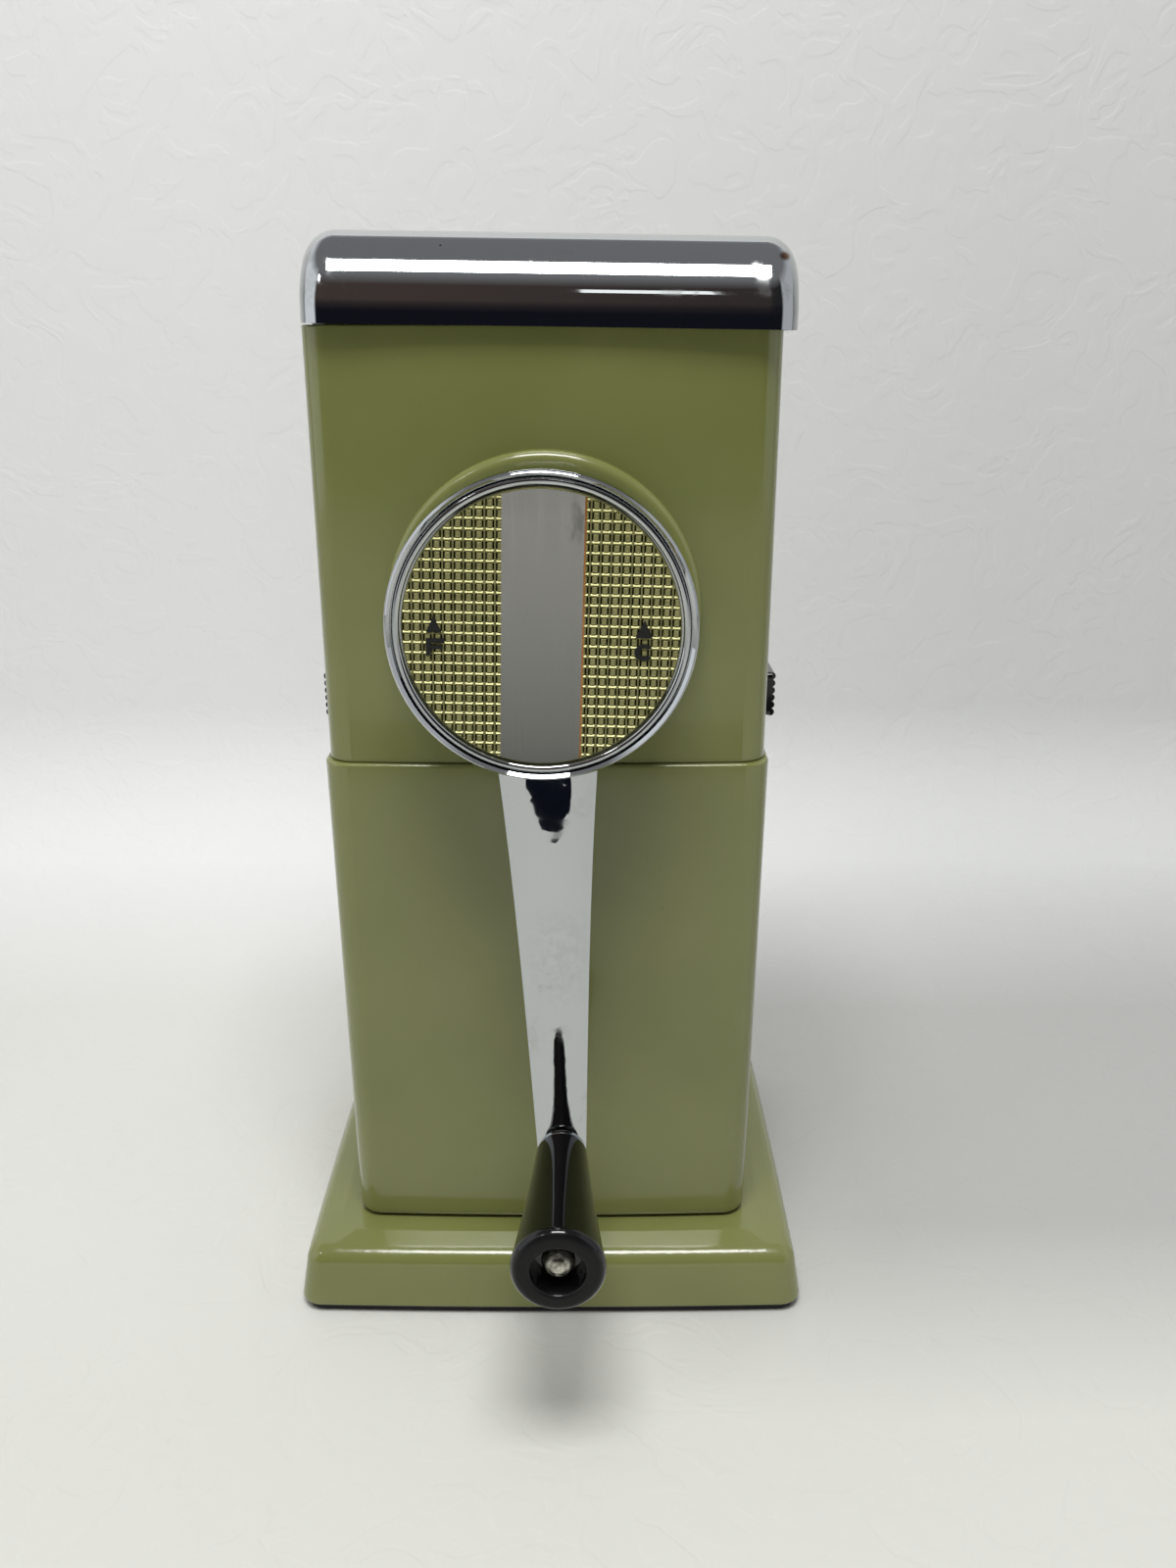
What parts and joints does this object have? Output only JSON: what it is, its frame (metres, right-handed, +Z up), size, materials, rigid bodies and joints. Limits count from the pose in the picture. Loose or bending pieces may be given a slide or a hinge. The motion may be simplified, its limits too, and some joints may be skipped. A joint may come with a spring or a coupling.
{
  "type": "hand crank ice crusher",
  "caption": "Hand crank ice crusher: chrome lid over a square crushing head with a front crank and round dial, standing on an ice container with a flared base.",
  "frame": {"origin": "middle of the rubber foot's underside, on the surface that it stands on", "axes": "+Z up, +X to the right seen from the front, the crank and dial face -Y"},
  "size_m": [0.1278, 0.1604, 0.2546],
  "materials": {
    "olive": "gloss moulded",
    "rubber": "matt",
    "chrome": "polished",
    "cast_alloy": "as cast",
    "steel": "plated",
    "rotor_iron": "tinned",
    "bronze": "plain",
    "dial_gold": "embossed, metallic",
    "strip_metal": "brushed",
    "black": "gloss"
  },
  "bodies": {
    "stand": {"rubber_foot": "rubber", "base_shell": "olive", "ice_container": "olive", "container_screws": "steel"},
    "head": {"upper_housing": "olive", "hopper": "cast_alloy", "hopper_screws": "steel", "front_bush": "bronze", "rear_bush": "bronze", "fine_comb": "steel", "coarse_comb": "steel", "comb_screws": "steel", "hinge_bracket": "steel", "hinge_pin": "steel", "bracket_rivets": "steel", "right_latch_spring": "steel", "left_latch_spring": "steel"},
    "lid": {"lid_shell": "chrome", "lid_leaf": "steel", "lid_rivets": "steel"},
    "crank": {"crank_arm": "chrome", "main_shaft": "steel", "rotor": "rotor_iron", "thrust_washer": "steel", "retaining_ring": "steel", "hub_screw": "steel", "dial_insert": "dial_gold", "dial_strip": "strip_metal", "bezel_ring": "chrome", "grip_rivet": "steel", "grip_washer": "steel"},
    "grip": {"grip": "black"},
    "right_latch": {"right_latch": "black"},
    "left_latch": {"left_latch": "black"}
  },
  "joints": [
    {"name": "head_lift", "type": "slide", "parent": "stand", "child": "head", "axis": [0, 0, 1], "range_m": [0, 0.04]},
    {"name": "lid_hinge", "type": "hinge", "parent": "head", "child": "lid", "pos_m": [0, 0.0466, 0.236], "axis": [-1, 0, 0], "range_deg": [0, 105]},
    {"name": "crank_spin", "type": "hinge", "parent": "head", "child": "crank", "pos_m": [0, -0.0465, 0.1775], "axis": [0, -1, 0], "continuous": true},
    {"name": "grip_spin", "type": "hinge", "parent": "crank", "child": "grip", "pos_m": [0.00326, -0.084, 0.05304], "axis": [0, -1, 0], "continuous": true},
    {"name": "right_latch_press", "type": "slide", "parent": "head", "child": "right_latch", "axis": [-1, 0, 0], "range_m": [0, 0.002], "stiffness_N_per_m": 600, "springref_m": -0.001, "deforming": ["right_latch_spring"]},
    {"name": "left_latch_press", "type": "slide", "parent": "head", "child": "left_latch", "axis": [1, 0, 0], "range_m": [0, 0.002], "stiffness_N_per_m": 600, "springref_m": -0.001, "deforming": ["left_latch_spring"]}
  ]
}
